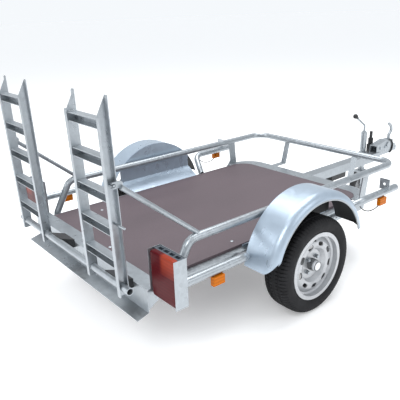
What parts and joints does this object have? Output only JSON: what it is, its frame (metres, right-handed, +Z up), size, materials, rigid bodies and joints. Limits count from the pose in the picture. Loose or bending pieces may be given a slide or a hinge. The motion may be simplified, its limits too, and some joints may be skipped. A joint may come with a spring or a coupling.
{
  "type": "quad bike trailer",
  "caption": "Single-axle galvanised trailer with a plywood deck, tubular guard rail, arched mudguards, upright folding loading ramps, tail lamps and a drawbar with jockey wheel.",
  "frame": {"origin": "on the ground at the middle of the trailer's length and width", "axes": "+X to the right, +Y forwards along the drawbar, +Z up"},
  "size_m": [1.619, 3.0372, 1.2203],
  "materials": {
    "galvanised_steel": "hot-dip galvanised",
    "plywood": "film faced, satin",
    "tyre_rubber": "matt",
    "wheel_steel": "silver paint",
    "cast_hub": "satin silver",
    "lamp_housing": "moulded",
    "red_lens": "clear moulded lens",
    "amber_lens": "clear moulded lens",
    "black_plastic": "moulded",
    "black_rubber": "matt"
  },
  "bodies": {
    "chassis": {"deck_panel": "plywood", "side_member_left": "galvanised_steel", "side_member_right": "galvanised_steel", "front_cross_member": "galvanised_steel", "rear_cross_member": "galvanised_steel", "deck_bearers": "galvanised_steel", "drawbar": "galvanised_steel", "rail_left": "galvanised_steel", "rail_front": "galvanised_steel", "rail_right": "galvanised_steel", "rail_posts": "galvanised_steel", "side_bar_rear_left": "galvanised_steel", "side_bar_rear_right": "galvanised_steel", "side_bar_front_left": "galvanised_steel", "side_bar_front_right": "galvanised_steel", "fender_left": "galvanised_steel", "fender_right": "galvanised_steel", "fender_panel_left": "galvanised_steel", "fender_panel_right": "galvanised_steel", "axle_beam": "galvanised_steel", "axle_arm_left": "galvanised_steel", "axle_arm_right": "galvanised_steel", "lamp_guard_left": "galvanised_steel", "lamp_guard_right": "galvanised_steel", "lamp_bodies": "lamp_housing", "lamp_lenses": "red_lens", "marker_lamps": "amber_lens", "marker_plates": "galvanised_steel", "marker_leads": "black_rubber", "hinge_bar": "galvanised_steel", "hinge_brackets": "black_plastic", "stay_left": "galvanised_steel", "stay_right": "galvanised_steel", "coupling_head": "galvanised_steel", "coupling_cup": "galvanised_steel", "coupling_lever": "galvanised_steel", "safety_cable": "black_rubber", "jockey_clamp": "galvanised_steel", "jockey_tube": "galvanised_steel", "jockey_crank": "galvanised_steel", "plug_socket": "black_plastic", "junction_box": "black_plastic"},
    "wheel_left": {"tyre_left": "tyre_rubber", "rim_left": "wheel_steel", "hub_left": "cast_hub"},
    "wheel_right": {"tyre_right": "tyre_rubber", "rim_right": "wheel_steel", "hub_right": "cast_hub"},
    "ramp_left": {"ramp_rails_left": "galvanised_steel", "ramp_rungs_left": "galvanised_steel"},
    "ramp_right": {"ramp_rails_right": "galvanised_steel", "ramp_rungs_right": "galvanised_steel"},
    "jockey_leg": {"jockey_leg": "galvanised_steel"},
    "jockey_fork": {"jockey_fork": "galvanised_steel"},
    "jockey_wheel": {"jockey_wheel": "black_rubber"}
  },
  "joints": [
    {"name": "wheel_left_spin", "type": "hinge", "parent": "chassis", "child": "wheel_left", "pos_m": [-0.717, -0.5034, 0.26], "axis": [1, 0, 0], "continuous": true},
    {"name": "wheel_right_spin", "type": "hinge", "parent": "chassis", "child": "wheel_right", "pos_m": [0.717, -0.5034, 0.26], "axis": [1, 0, 0], "continuous": true},
    {"name": "ramp_left_lower", "type": "hinge", "parent": "chassis", "child": "ramp_left", "pos_m": [-0.385, -1.4804, 0.415], "axis": [1, 0, 0], "range_deg": [0, 120]},
    {"name": "ramp_right_lower", "type": "hinge", "parent": "chassis", "child": "ramp_right", "pos_m": [0.385, -1.4804, 0.415], "axis": [1, 0, 0], "range_deg": [0, 120]},
    {"name": "jockey_leg_raise", "type": "slide", "parent": "chassis", "child": "jockey_leg", "axis": [0, 0, 1], "range_m": [0, 0.065]},
    {"name": "jockey_swivel", "type": "hinge", "parent": "jockey_leg", "child": "jockey_fork", "pos_m": [-0.08, 1.1826, 0.22], "axis": [0, 0, 1], "continuous": true},
    {"name": "jockey_wheel_spin", "type": "hinge", "parent": "jockey_fork", "child": "jockey_wheel", "pos_m": [-0.08, 1.1446, 0.1], "axis": [1, 0, 0], "continuous": true}
  ]
}
